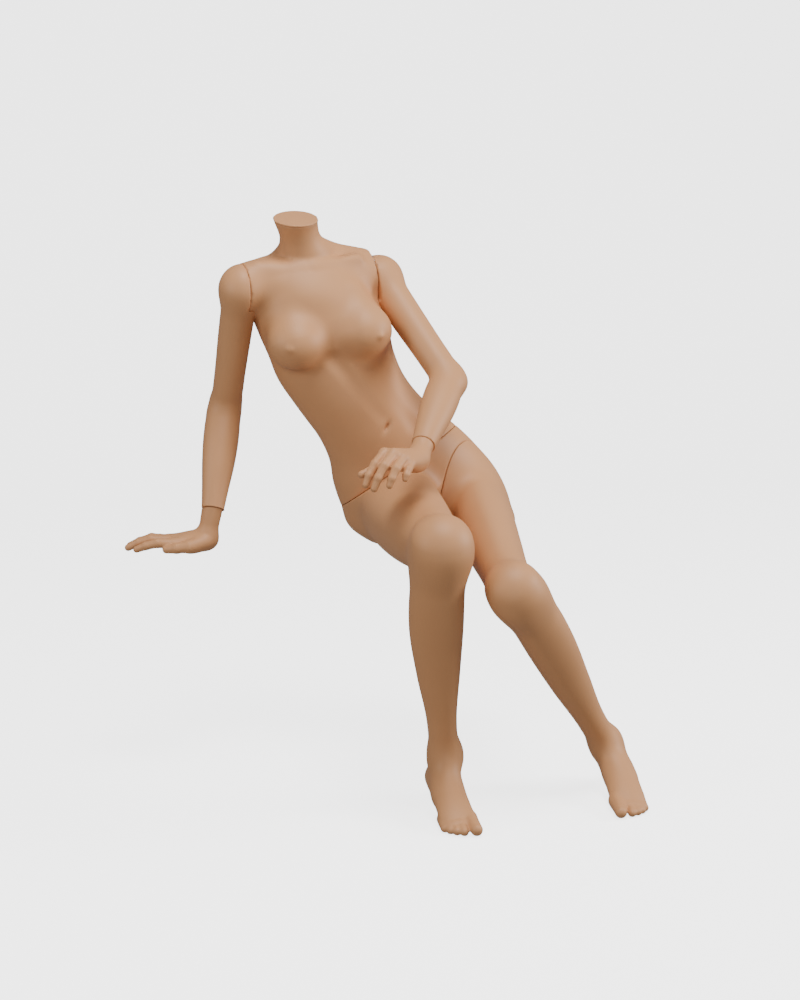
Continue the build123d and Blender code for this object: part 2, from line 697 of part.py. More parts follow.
# Twist locks
SEAMS = {
    "waist": (WAIST_SEAM, "waist"),
    "right_shoulder": (RIGHT_SHOULDER_SEAM, "shoulder"),
    "left_shoulder": (LEFT_SHOULDER_SEAM, "shoulder"),
    "right_wrist": (RIGHT_WRIST_SEAM, "wrist"),
    "left_wrist": (LEFT_WRIST_SEAM, "wrist"),
}
LOCKED_TURN = 90.0
for name, (seam, size_name) in SEAMS.items():
    size = TWIST_LOCKS[size_name]
    plate = socket_plate(seam, size)
    plate.label = f"{name}_socket_plate"
    export_step(plate, f"parts/{name}_socket_plate.step")
    stud_part = stud(seam, size, LOCKED_TURN)
    stud_part.label = f"{name}_stud"
    export_step(stud_part, f"parts/{name}_stud.step")
    if size["screws"]:
        for holder, direction in (("socket", -1), ("stud", 1)):
            group = screws(seam, size, direction)
            group.label = f"{name}_{holder}_screws"
            export_step(group, f"parts/{name}_{holder}_screws.step")

# Left-leg keyhole plate, stud plate and their screws
with BuildPart() as leg_socket_plate:
    with BuildSketch(LEG_SEAM.offset(-HALF_GAP)):
        RectangleRounded(LEG_PLATE_LONG, LEG_PLATE_WIDE, 10)
        with Locations(*[(x + LEG_LIFT / 2, y) for x, y in LEG_STUDS]):
            SlotCenterToCenter(LEG_LIFT, 2 * (LEG_STUD_R + LOCK_CLEARANCE), mode=Mode.SUBTRACT)
        with Locations(*[(x + LEG_LIFT, y) for x, y in LEG_STUDS]):
            Circle(LEG_HEAD_R + LOCK_CLEARANCE, mode=Mode.SUBTRACT)
    extrude(amount=-LEG_PLATE_THICK)
    extrude(leg_screw_holes(-HALF_GAP, SCREW_HEAD_R), amount=-SCREW_HEAD_HIGH, mode=Mode.SUBTRACT)
    extrude(leg_screw_holes(-HALF_GAP, SCREW_R), amount=-LEG_PLATE_THICK, mode=Mode.SUBTRACT)
leg_socket_plate.part.label = "leg_socket_plate"
export_step(leg_socket_plate.part, "parts/leg_socket_plate.step")

HEAD_START = -HALF_GAP - LEG_PLATE_THICK - BAR_GAP
with BuildPart() as leg_stud_plate:
    with BuildSketch(LEG_SEAM.offset(HALF_GAP)):
        RectangleRounded(LEG_PLATE_LONG, LEG_PLATE_WIDE, 10)
    extrude(amount=LEG_PLATE_THICK)
    extrude(leg_screw_holes(HALF_GAP, SCREW_HEAD_R), amount=SCREW_HEAD_HIGH, mode=Mode.SUBTRACT)
    extrude(leg_screw_holes(HALF_GAP, SCREW_R), amount=LEG_PLATE_THICK, mode=Mode.SUBTRACT)
    with BuildSketch(LEG_SEAM.offset(HALF_GAP)):
        with Locations(*LEG_STUDS):
            Circle(LEG_STUD_R)
    extrude(amount=HEAD_START - HALF_GAP)
    with BuildSketch(LEG_SEAM.offset(HEAD_START)):
        with Locations(*LEG_STUDS):
            Circle(LEG_HEAD_R)
    extrude(amount=-LEG_HEAD_HIGH)
leg_stud_plate.part.label = "leg_stud_plate"
export_step(leg_stud_plate.part, "parts/leg_stud_plate.step")

for holder, direction in (("socket", -1), ("stud", 1)):
    with BuildPart() as leg_screws:
        extrude(leg_screw_holes(direction * HALF_GAP, SCREW_HEAD_R), amount=direction * SCREW_HEAD_HIGH)
        extrude(
            leg_screw_holes(direction * (HALF_GAP + SCREW_HEAD_HIGH), SCREW_R),
            amount=direction * SCREW_LONG,
        )
    leg_screws.part.label = f"leg_{holder}_screws"
    export_step(leg_screws.part, f"parts/leg_{holder}_screws.step")
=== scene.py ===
"""A seated, headless shop mannequin, painted in one matt skin tone, around its CAD frame.

The moulded shells are modelled as smooth fields: a field gives each point's signed distance to the
skin, bones and muscles are joined by soft unions, and each shell is cut from its field at its
seams. Body sizes are in millimetres in the CAD frame: +Z up, the mannequin faces -Y and its left
is +X. MM turns them into Blender's metres.
"""

import json

import bmesh
import bpy
import numpy as np
import openvdb
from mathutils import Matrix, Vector


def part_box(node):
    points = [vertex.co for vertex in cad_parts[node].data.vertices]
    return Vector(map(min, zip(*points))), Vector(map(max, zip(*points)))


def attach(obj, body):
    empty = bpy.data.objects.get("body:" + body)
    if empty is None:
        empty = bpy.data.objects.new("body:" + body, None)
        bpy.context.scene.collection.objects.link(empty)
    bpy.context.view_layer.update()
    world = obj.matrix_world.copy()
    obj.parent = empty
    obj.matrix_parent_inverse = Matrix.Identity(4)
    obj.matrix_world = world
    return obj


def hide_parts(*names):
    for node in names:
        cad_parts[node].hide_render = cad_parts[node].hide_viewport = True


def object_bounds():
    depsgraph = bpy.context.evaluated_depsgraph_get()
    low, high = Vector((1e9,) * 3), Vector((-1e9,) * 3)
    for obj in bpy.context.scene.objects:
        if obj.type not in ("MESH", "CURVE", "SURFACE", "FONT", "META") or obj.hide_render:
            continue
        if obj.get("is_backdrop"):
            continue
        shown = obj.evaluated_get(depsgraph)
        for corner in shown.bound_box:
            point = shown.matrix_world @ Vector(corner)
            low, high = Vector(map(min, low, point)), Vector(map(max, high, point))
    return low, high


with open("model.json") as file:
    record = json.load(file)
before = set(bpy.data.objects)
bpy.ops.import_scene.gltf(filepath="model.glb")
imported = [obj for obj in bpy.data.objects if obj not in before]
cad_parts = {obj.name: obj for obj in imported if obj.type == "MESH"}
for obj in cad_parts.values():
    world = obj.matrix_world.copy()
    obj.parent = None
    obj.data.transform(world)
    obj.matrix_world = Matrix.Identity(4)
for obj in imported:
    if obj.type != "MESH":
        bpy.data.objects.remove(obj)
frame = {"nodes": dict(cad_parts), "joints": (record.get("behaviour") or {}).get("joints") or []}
cad_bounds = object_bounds()

MM = 0.001
FLOOR_Z = -421.4
SEAM_GAP = 0.45  # from a seam's plane to each shell's rim
SEAM_ROUND = 0.9  # width of the bevel along each shell's rim

# --- Joint centres and seams

RIGHT_SHOULDER = (-365, -45, 490)
LEFT_SHOULDER = (-103, 31, 497)
RIGHT_ELBOW = (-393, 45, 256)
LEFT_ELBOW = (0, -122, 321)
RIGHT_WRIST = (-431, -52, 43)
LEFT_WRIST = (-85, -290, 207)
RIGHT_HIP = (-88, 50, 88)
LEFT_HIP = (88, 50, 94)
RIGHT_KNEE = (-66, -429, 74)
LEFT_KNEE = (63, -417, -10)
RIGHT_ANKLE = (-34, -302, -330)
LEFT_ANKLE = (272, -252, -338)
NECK_BASE = (-247, -12, 531)
NECK_TOP = (-267, -39, 609)
NECK_AXIS = (0, -0.284, 0.959)
LEG_SEAM_POINT = (51, -5, 90)
LEG_SEAM_NORMAL = (0.778, -0.611, -0.145)
JOINTS = {joint["name"]: joint for joint in frame["joints"]}


def unit(vector):
    vector = np.asarray(vector, float)
    return vector / np.linalg.norm(vector)


def seam_at(joint, away_from):
    """(point, normal) of the seam that a joint turns about, facing away from a point."""
    point = np.array(JOINTS[joint]["pos_m"]) / MM
    normal = unit(JOINTS[joint]["axis"])
    if normal @ (point - np.array(away_from, float)) < 0:
        normal = -normal
    return point, normal


CHEST = (-243, -9, 498)
WAIST_SEAM = seam_at("waist_turn", (0, 0, 0))
RIGHT_SHOULDER_SEAM = seam_at("right_shoulder_turn", CHEST)
LEFT_SHOULDER_SEAM = seam_at("left_shoulder_turn", CHEST)
RIGHT_WRIST_SEAM = seam_at("right_wrist_turn", RIGHT_ELBOW)
LEFT_WRIST_SEAM = seam_at("left_wrist_turn", LEFT_ELBOW)
LEG_SEAM = (np.array(LEG_SEAM_POINT, float), unit(LEG_SEAM_NORMAL))
NECK_SEAM = (np.array(NECK_TOP, float), unit(NECK_AXIS))


def flipped(seam):
    return seam[0], -seam[1]


# --- Fields


def smooth_curve(place, knots, values):
    """Values at the knots joined by a smooth curve, read at each place."""
    slopes = np.gradient(values, knots)
    index = np.clip(np.searchsorted(knots, place, side="right") - 1, 0, len(knots) - 2)
    step = knots[index + 1] - knots[index]
    u = np.clip((place - knots[index]) / step, 0, 1)
    rise = values[index + 1] - values[index]
    curve = values[index] + u * step * slopes[index]
    curve += u * u * (3 * rise - step * (2 * slopes[index] + slopes[index + 1]))
    return curve + u**3 * (step * (slopes[index] + slopes[index + 1]) - 2 * rise)


def swept(origin, axis, front, rows):
    """Limb or trunk of four-radius sections along a straight axis.

    A row is (place along the axis, centre's shift to the front and to the left of the front, turn
    in degrees, radii to the front, back, left and right)."""
    origin = np.array(origin, float)
    axis = unit(axis)
    front = np.array(front, float)
    front = unit(front - axis * (front @ axis))
    left = np.cross(axis, front)
    places = np.array([row[0] for row in rows], float)
    columns = np.array([(*row[1], np.radians(row[2]), *row[3]) for row in rows], float).T

    def field(points):
        offset = points - origin
        place = offset @ axis
        held = np.clip(place, places[0], places[-1])
        shift_front, shift_left, turn, *radii = (smooth_curve(held, places, c) for c in columns)
        ahead = offset @ front - shift_front
        aside = offset @ left - shift_left
        x = ahead * np.cos(turn) + aside * np.sin(turn)
        y = aside * np.cos(turn) - ahead * np.sin(turn)
        x_radius = np.where(x > 0, radii[0], radii[1])
        y_radius = np.where(y > 0, radii[2], radii[3])
        small = np.minimum.reduce(radii)
        reach = np.sqrt((x / x_radius) ** 2 + (y / y_radius) ** 2 + ((place - held) / small) ** 2)
        return (reach - 1) * small

    return field


def bone(start, end, front, rows):
    """Sections along a bone. A row is (fraction of its length, front, back, left, right radius)."""
    start = np.array(start, float)
    end = np.array(end, float)
    length = np.linalg.norm(end - start)
    return swept(start, end - start, front, [(row[0] * length, (0, 0), 0, row[1:]) for row in rows])


def cone(start, end, start_radius, end_radius):
    """Round-ended cone."""
    start = np.array(start, float)
    span = np.array(end, float) - start

    def field(points):
        offset = points - start
        along = np.clip(offset @ span / (span @ span), 0, 1)
        gap = offset - along[:, None] * span
        return np.sqrt((gap * gap).sum(1)) - start_radius - along * (end_radius - start_radius)

    return field


def ellipsoid(centre, radii, long_axis=(0, 0, 1), front=(0, -1, 0)):
    """Ellipsoid with radii along its long axis, to its front and to its side."""
    centre = np.array(centre, float)
    long_axis = unit(long_axis)
    front = np.array(front, float)
    front = unit(front - long_axis * (front @ long_axis))
    basis = np.stack([long_axis, front, np.cross(long_axis, front)]) / np.array(radii)[:, None]

    def field(points):
        return (np.linalg.norm((points - centre) @ basis.T, axis=1) - 1) * min(radii)

    return field


def soft_min(a, b, softness):
    mix = np.clip(0.5 + 0.5 * (b - a) / softness, 0, 1)
    return b * (1 - mix) + a * mix - softness * mix * (1 - mix)


def union(softness, *forms):
    """Forms joined with a fillet about as wide as the softness."""

    def field(points):
        value = forms[0](points)
        for form in forms[1:]:
            value = soft_min(value, form(points), softness)
        return value

    return field


def carved(softness, body, *tools):
    """The body with soft-edged hollows."""

    def field(points):
        value = body(points)
        for tool in tools:
            value = -soft_min(-value, tool(points), softness)
        return value

    return field


def beyond(seam, points):
    return (points - seam[0]) @ seam[1]


# --- Trunk

BREAST_RADII = (46, 47, 50)
BREAST_LONG_AXIS = (0, -0.3, 1)
BREAST_FILLET = 30
CHEST_FILLET = 20
TRAPEZIUS_RADII = (26, 24)
TRAPEZIUS_FILLET = 24
NECK_FILLET = 22
NECK_OVERRUN = 8  # how far the neck's form runs past its top, to be cut there
POINT_RADII = (5, 6, 5)
POINT_FILLET = 8
MUSCLE_LINE_SOFTNESS = 18
NAVEL_SOFTNESS = 7
COLLARBONE_RADII = (6, 8)
COLLARBONE_FILLET = 14
# (height, (shift to the front, shift to the left), turn, (front, back, left, right radius))
TRUNK_ROWS = [
    (-8, (-15, -15), 0, (66, 80, 100, 96)),
    (20, (-12, -8), 0, (88, 108, 148, 148)),
    (70, (-10, -22), 0, (90, 112, 150, 158)),
    (112, (-8, -36), 0, (90, 108, 150, 158)),
    (160, (-4, -56), 1, (88, 100, 147, 147)),
    (205, (0, -88), 2, (84, 90, 139, 136)),
    (240, (2, -118), 3, (81, 84, 128, 131)),
    (268, (4, -142), 4, (80, 80, 118, 127)),
    (312, (4, -176), 5, (82, 80, 116, 122)),
    (360, (4, -199), 6, (86, 84, 118, 118)),
    (400, (4, -212), 7, (92, 88, 122, 122)),
    (440, (4, -224), 9, (90, 90, 122, 124)),
    (478, (7, -236), 13, (80, 88, 108, 110)),
    (506, (8, -241), 15, (64, 76, 98, 98)),
    (524, (9, -243), 15, (50, 62, 84, 84)),
    (540, (9, -244), 14, (34, 44, 50, 50)),
]
NECK_ROWS = [
    (-0.25, 38, 44, 44, 42),
    (0.10, 38, 42, 40, 39),
    (0.40, 36, 39, 36, 36),
    (0.70, 36, 38, 36.5, 36.5),
    (0.90, 40, 40, 39.5, 39.5),
    (1.00, 41, 41, 41, 41),
]
TRUNK_FRONT = (0, -1, 0)


def breast(centre, top, facing):
    """Full below and sloping away above."""
    full = ellipsoid(centre, BREAST_RADII, BREAST_LONG_AXIS, facing)
    return union(BREAST_FILLET, full, cone(top, centre, 18, 34))


def trunk_form():
    """Pelvis, belly, rib cage and neck, without the shoulders and the collarbones."""
    body = swept((0, 0, 0), (0, 0, 1), TRUNK_FRONT, TRUNK_ROWS)
    neck_end = np.array(NECK_TOP) + unit(NECK_AXIS) * NECK_OVERRUN
    body = union(NECK_FILLET, body, bone(NECK_BASE, neck_end, TRUNK_FRONT, NECK_ROWS))
    right_trapezius = cone((-262, 16, 528), (-338, -22, 506), *TRAPEZIUS_RADII)
    left_trapezius = cone((-225, 20, 541), (-141, 30, 525), *TRAPEZIUS_RADII)
    body = union(TRAPEZIUS_FILLET, body, right_trapezius, left_trapezius)
    right_breast = breast((-272, -80, 388), (-286, -58, 452), (-0.2, -1, -0.15))
    left_breast = breast((-146, -64, 406), (-166, -44, 470), (0.42, -1, -0.15))
    body = union(CHEST_FILLET, body, right_breast, left_breast)
    right_point = ellipsoid((-287, -121, 382), POINT_RADII)
    left_point = ellipsoid((-122, -103, 401), POINT_RADII)
    body = union(POINT_FILLET, body, right_point, left_point)
    navel = ellipsoid((-106, -84, 231), (7.5, 8, 2.8), (0.5, 0, 1), TRUNK_FRONT)
    midline = cone((-204, -98, 356), (-114, -94, 250), 8, 5)
    flank = cone((-110, -92, 330), (-52, -86, 236), 10, 10)
    spine = cone((-238, 92, 470), (-120, 92, 214), 9, 9)
    body = carved(MUSCLE_LINE_SOFTNESS, body, midline, flank)
    return carved(NAVEL_SOFTNESS, body, navel, spine)


def collarbones(body):
    """The body with its collarbones."""
    right = cone((-256, -52, 520), (-336, -52, 522), *COLLARBONE_RADII)
    left = cone((-236, -50, 522), (-150, -10, 532), *COLLARBONE_RADII)
    return union(COLLARBONE_FILLET, body, right, left)


# --- Arms

ARM_ROOT = 46.0  # how far the round of the shoulder reaches into the torso from its seam
ARMPIT_DROP = 48.0  # from the seam's middle down to where arm and torso part
SHOULDER_DROP = 6.0
SHOULDER_ROOT_RADIUS = 38
SHOULDER_RADII = (44, 41, 39)
SHOULDER_FILLET = 12
UPPER_ARM_FILLET = 20
ELBOW_POINT_OUT = 20
ELBOW_POINT_RADII = (13, 11, 12)
ELBOW_FILLET = 14
TORSO_SHOULDER_FILLET = 22
UPPER_ARM_ROWS = [
    (0.05, 35, 33, 32, 31),
    (0.18, 36, 33, 31, 32),
    (0.40, 34, 31, 30, 31),
    (0.70, 31, 30, 29, 28),
    (0.92, 29, 28, 29, 27),
    (1.04, 26, 25, 27, 27),
]
FOREARM_ROWS = [
    (-0.04, 27, 25, 27, 27),
    (0.08, 33, 28, 31, 32),
    (0.25, 33, 30, 33, 33),
    (0.45, 30, 28, 31, 30),
    (0.68, 24, 23, 25, 24),
    (0.86, 19.5, 19, 21, 20),
    (1.10, 19, 19, 21, 20),
]


def shoulder_form(joint, seam):
    """Round of the shoulder, across its seam."""
    root = np.array(seam[0]) - seam[1] * ARM_ROOT
    middle = np.array(joint) - np.array([0, 0, SHOULDER_DROP])
    across = cone(root, middle, SHOULDER_ROOT_RADIUS, SHOULDER_ROOT_RADIUS)
    return union(SHOULDER_FILLET, across, ellipsoid(middle, SHOULDER_RADII))


def arm_form(joint, elbow, wrist, seam, front):
    upper = bone(joint, elbow, front, UPPER_ARM_ROWS)
    fore = bone(elbow, wrist, front, FOREARM_ROWS)
    upper_way = unit(np.array(elbow) - np.array(joint))
    fore_way = unit(np.array(wrist) - np.array(elbow))
    outward = unit(upper_way - fore_way)
    tip = np.array(elbow) + outward * ELBOW_POINT_OUT
    point = ellipsoid(tip, ELBOW_POINT_RADII, upper_way, outward)
    upper = union(UPPER_ARM_FILLET, upper, shoulder_form(joint, seam))
    return union(ELBOW_FILLET, upper, fore, point)


RIGHT_ARM_FRONT = (0, 1, 0)
LEFT_ARM_FRONT = (0.1, 0.75, -0.6)


def above_armpit(seam, points):
    return points[:, 2] - (seam[0][2] - ARMPIT_DROP)


def arm_side(form, seam):
    """The part of an arm's field that lies outside its shoulder seam."""

    def field(points):
        removed = np.minimum(-beyond(seam, points) + SEAM_GAP, above_armpit(seam, points))
        return np.maximum(form(points), removed)

    return field


def torso_side(form, seams):
    """The part of the torso's field that lies inside both shoulder seams."""

    def field(points):
        value = form(points)
        for seam in seams:
            removed = np.minimum(beyond(seam, points) + SEAM_GAP, above_armpit(seam, points))
            value = np.maximum(value, removed)
        return value

    return field


# --- Legs

HIP_FILLET = 30
KNEE_FILLET = 44
KNEECAP_AHEAD = 23
KNEECAP_RADII = (18, 25, 25)
KNEECAP_FILLET = 30
ANKLE_FILLET = 26
ANKLE_BONE_SIDE = 13
ANKLE_BONE_RADII = (14, 13, 9)
INSTEP_START_UP = 6
INSTEP_END = (112, 36)  # distance from the heel and height
INSTEP_RADII = (23, 22)
FOOT_FILLET = 16
TOE_FILLET = 5
RIGHT_THIGH_ROWS = [
    (0.00, 60, 76, 62, 66),
    (0.30, 69, 86, 74, 72),
    (0.55, 64, 80, 70, 64),
    (0.78, 56, 64, 58, 54),
    (0.92, 50, 50, 46, 48),
    (1.02, 45, 42, 42, 43),
]
LEFT_THIGH_ROWS = [
    (0.00, 60, 74, 60, 40),
    (0.30, 66, 74, 66, 44),
    (0.55, 61, 66, 60, 41),
    (0.78, 53, 54, 48, 38),
    (0.92, 48, 45, 42, 40),
    (1.02, 43, 38, 34, 39),
]
RIGHT_SHIN_ROWS = [
    (-0.05, 38, 36, 42, 40),
    (0.05, 45, 43, 49, 43),
    (0.18, 43, 48, 57, 38),
    (0.34, 40, 51, 60, 35),
    (0.58, 34, 42, 49, 27),
    (0.80, 27, 29, 34, 20),
    (1.00, 26, 27, 29, 23),
]
LEFT_SHIN_ROWS = [
    (-0.05, 37, 32, 32, 42),
    (0.05, 42, 38, 35, 49),
    (0.18, 40, 44, 35, 53),
    (0.34, 37, 46, 35, 51),
    (0.58, 32, 38, 32, 39),
    (0.80, 27, 28, 26, 27),
    (1.00, 26, 27, 26, 25),
]
# Distance from the heel, height of the sole and the instep, half-width and shift to the inner side
FOOT_ROWS = [
    (8, 28, 62, 14, 0),
    (22, 22, 72, 23, 0),
    (48, 19, 78, 27, 0),
    (80, 17, 74, 29, 1),
    (116, 12, 62, 30, 2),
    (152, 6, 47, 31, 3),
    (180, 2, 32, 31, 4),
    (194, 3, 23, 26, 4),
]
# Each toe: root and tip, as distance from the heel, shift to the inner side and height, and radii
TOES = [
    ((176, 25, 16), (222, 28, 12), 13.5, 10.5),
    ((178, 6, 14), (219, 7, 9), 10.0, 7.6),
    ((174, -5, 13), (213, -5, 8.5), 9.6, 7.2),
    ((168, -14, 12), (205, -15, 8), 9.0, 6.8),
    ((160, -21, 12), (194, -23, 7.5), 8.6, 6.4),
]


def leg_front(hip, knee, ankle):
    """Where the front of a bent knee points."""
    return unit(np.subtract(knee, hip)) - unit(np.subtract(ankle, knee))


def leg_form(hip, knee, ankle, heel, toe_out, inner, thigh_rows, shin_rows):
    """Thigh, shin and foot. toe_out is in degrees towards +X, and inner is +1 where the big toe
    is on the +X side of its foot and -1 where it is on the other."""
    front = leg_front(hip, knee, ankle)
    thigh = bone(hip, knee, front, thigh_rows)
    shin = bone(knee, ankle, front, shin_rows)
    cap = ellipsoid(np.array(knee) + unit(front) * KNEECAP_AHEAD, KNEECAP_RADII, front)
    leg = union(KNEECAP_FILLET, union(KNEE_FILLET, thigh, shin), cap)
    return union(ANKLE_FILLET, leg, foot_form(heel, ankle, toe_out, inner))


def foot_form(heel, ankle, toe_out, inner):
    """Foot with its instep, ankle bones and toes."""
    turn = np.radians(toe_out)
    along = np.array([np.sin(turn), -np.cos(turn), 0])
    inside = np.array([np.cos(turn), np.sin(turn), 0]) * inner
    up = np.array([0, 0, 1.0])
    rows = []
    for distance, sole, instep, half_width, shift in FOOT_ROWS:
        half_height = (instep - sole) / 2
        radii = (half_height, half_height, half_width, half_width)
        rows.append((distance, ((instep + sole) / 2, -inner * shift), 0, radii))
    foot = swept(heel, along, up, rows)
    instep_end = np.array(heel) + along * INSTEP_END[0] + up * INSTEP_END[1]
    bridge = cone(np.array(ankle) + up * INSTEP_START_UP, instep_end, *INSTEP_RADII)
    ankle_bones = []
    for side in (ANKLE_BONE_SIDE, -ANKLE_BONE_SIDE):
        middle = np.array(ankle) + inside * side
        ankle_bones.append(ellipsoid(middle, ANKLE_BONE_RADII, up, along))
    foot = union(FOOT_FILLET, foot, bridge, *ankle_bones)
    for root, tip, root_radius, tip_radius in TOES:
        ends = [np.array(heel) + along * d + inside * s + up * h for d, s, h in (root, tip)]
        foot = union(TOE_FILLET, foot, cone(*ends, root_radius, tip_radius))
    return foot


RIGHT_HEEL = (-44, -248, FLOOR_Z)
LEFT_HEEL = (287, -200, FLOOR_Z)
RIGHT_TOE_OUT = 1.5
LEFT_TOE_OUT = -0.5
RIGHT_LEG = (
    *(RIGHT_HIP, RIGHT_KNEE, RIGHT_ANKLE, RIGHT_HEEL),
    *(RIGHT_TOE_OUT, 1, RIGHT_THIGH_ROWS, RIGHT_SHIN_ROWS),
)
LEFT_LEG = (
    *(LEFT_HIP, LEFT_KNEE, LEFT_ANKLE, LEFT_HEEL),
    *(LEFT_TOE_OUT, -1, LEFT_THIGH_ROWS, LEFT_SHIN_ROWS),
)


# --- Hands: each finger is (knuckle, middle joint, last joint, tip, knuckle radius, tip radius)

RIGHT_FINGERS = [
    ((-496, -42, 17), (-527, -46, 20), (-548, -43, 15), (-565, -38, 8), 9.5, 6.3),
    ((-503, -24, 19), (-538, -26, 23), (-561, -23, 17), (-580, -20, 8), 9.6, 6.4),
    ((-503, -5, 18), (-536, -4, 22), (-558, -3, 16), (-576, -1, 8), 9.2, 6.2),
    ((-496, 12, 15), (-521, 15, 17), (-538, 17, 13), (-553, 19, 7), 8.2, 5.6),
]
RIGHT_THUMB = ((-441, -50, 20), (-470, -63, 15), (-493, -60, 12), (-511, -52, 9), 13.0, 7.6)
LEFT_FINGERS = [
    ((-150, -338, 227), (-169, -361, 213), (-181, -370, 196), (-187, -372, 180), 9.2, 6.0),
    ((-135, -346, 227), (-155, -373, 212), (-167, -381, 193), (-174, -382, 175), 9.4, 6.2),
    ((-119, -350, 220), (-136, -376, 207), (-144, -383, 192), (-148, -384, 180), 9.0, 5.9),
    ((-106, -350, 211), (-114, -368, 203), (-118, -375, 196), (-120, -377, 189), 8.0, 5.3),
]
LEFT_THUMB = ((-108, -300, 207), (-137, -311, 204), (-163, -320, 198), (-188, -330, 190), 12.5, 6.6)
RIGHT_HAND_ROOT = (-436, -34, 24)
RIGHT_PALM_WAY = (0, 0, -1)
LEFT_PALM_WAY = (0, 0.3, -1)
STUB_OVERRUN = 8  # how far the hand's form runs past its seam, to be cut there
STUB_RADII = (19.5, 17)
HAND_BONE_RADIUS = 16
KNUCKLE_EXTRA = 1.0
PAD_DEPTH = 5
THUMB_PAD_RADII = (26, 13, 14)
HEEL_PAD_RADII = (26, 12, 13)
PALM_FILLET = 8
PAD_FILLET = 14
THUMB_FILLET = 6
FINGER_FILLET = 3.5
FINGER_JOINT_FILLET = 3


def finger_form(finger):
    *joints, root_radius, tip_radius = finger
    radii = np.linspace(root_radius, tip_radius, len(joints))
    pairs = zip(joints, joints[1:], radii, radii[1:])
    return union(FINGER_JOINT_FILLET, *(cone(a, b, ra, rb) for a, b, ra, rb in pairs))


def hand_form(wrist, fingers, thumb, seam, palm_way):
    """Wrist, palm of four hand bones with its pads, fingers and thumb. palm_way faces the palm."""
    wrist = np.array(wrist, float)
    palm_way = unit(palm_way)
    stub = cone(seam[0] - seam[1] * STUB_OVERRUN, wrist, *STUB_RADII)
    hand_bones = []
    for finger in fingers:
        hand_bones.append(cone(wrist, finger[0], HAND_BONE_RADIUS, finger[-2] + KNUCKLE_EXTRA))
    palm = union(PALM_FILLET, *hand_bones)
    thumb_joint = np.array(thumb[1])
    little_knuckle = np.array(fingers[3][0])
    thumb_pad_middle = (wrist + thumb_joint) / 2 + palm_way * PAD_DEPTH
    thumb_pad = ellipsoid(thumb_pad_middle, THUMB_PAD_RADII, thumb_joint - wrist, palm_way)
    heel_pad_middle = (wrist * 2 + little_knuckle) / 3 + palm_way * PAD_DEPTH
    heel_pad = ellipsoid(heel_pad_middle, HEEL_PAD_RADII, little_knuckle - wrist, palm_way)
    hand = union(PAD_FILLET, stub, palm, thumb_pad, heel_pad)
    hand = union(THUMB_FILLET, hand, finger_form(thumb))
    for finger in fingers:
        hand = union(FINGER_FILLET, hand, finger_form(finger))
    return hand


# --- Meshes

CELL = 3.0
HAND_CELL = 1.6
BOX_MARGIN = 8.0
BRICK = 4  # cells along each side of a brick
BRICK_REACH = 1.3  # a brick is filled in when the skin is within this many of its sides
BRICKS_AT_ONCE = 1000
GRID_BACKGROUND = 1000.0
GRADIENT_STEP = 0.4
GRADIENT_FLOOR = 0.25
LONGEST_MOVE = 1.5
SEAM_SNAP = 0.02
RIM_REACH = 0.1
SHORTEST_NORMAL = 1e-6


def grid_values(form, low, shape, cell):
    """The field on a grid. Far from the skin, a whole brick of cells shares its middle's value."""
    bricks = -(-shape // BRICK)
    corners = BRICK * np.indices(bricks).reshape(3, -1).T
    coarse = form(low + cell * (corners + (BRICK - 1) / 2))
    values = coarse.astype(np.float32).reshape(bricks)
    for axis in range(3):
        values = values.repeat(BRICK, axis)
    cells = np.indices((BRICK, BRICK, BRICK)).reshape(3, -1).T
    near = corners[np.abs(coarse) < BRICK_REACH * BRICK * cell]
    for some in np.array_split(near, 1 + len(near) // BRICKS_AT_ONCE):
        index = (some[:, None] + cells).reshape(-1, 3)
        values[tuple(index.T)] = form(low + cell * index)
    return values


def onto_skin(form, points):
    """Points moved along the field's gradient onto its zero level."""
    value = form(points)
    gradient = np.empty_like(points)
    for axis in range(3):
        step = np.zeros(3)
        step[axis] = GRADIENT_STEP
        gradient[:, axis] = (form(points + step) - form(points - step)) / (2 * GRADIENT_STEP)
    size = np.maximum((gradient**2).sum(1), GRADIENT_FLOOR)
    move = gradient * (np.clip(value, -LONGEST_MOVE, LONGEST_MOVE) / size)[:, None]
    return points - move


def skin_mesh(form, nodes, cell):
    """bmesh of a field's zero level in the box of its CAD nodes, in millimetres."""
    corners = np.array([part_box(node) for node in nodes]) / MM
    low = corners[:, 0].min(0) - BOX_MARGIN
    high = corners[:, 1].max(0) + BOX_MARGIN
    shape = np.ceil((high - low) / cell).astype(int) + 1
    grid = openvdb.FloatGrid(GRID_BACKGROUND)
    grid.copyFromArray(grid_values(form, low, shape, cell))
    points, quads = grid.convertToQuads(0.0)
    points = points.astype(float) * cell + low
    points = onto_skin(form, onto_skin(form, points))
    mesh = bpy.data.meshes.new("skin")
    mesh.from_pydata(points.tolist(), [], quads.tolist())
    skin = bmesh.new()
    skin.from_mesh(mesh)
    bpy.data.meshes.remove(mesh)
    bmesh.ops.recalc_face_normals(skin, faces=skin.faces)
    for face in skin.faces:
        face.smooth = True
    return skin


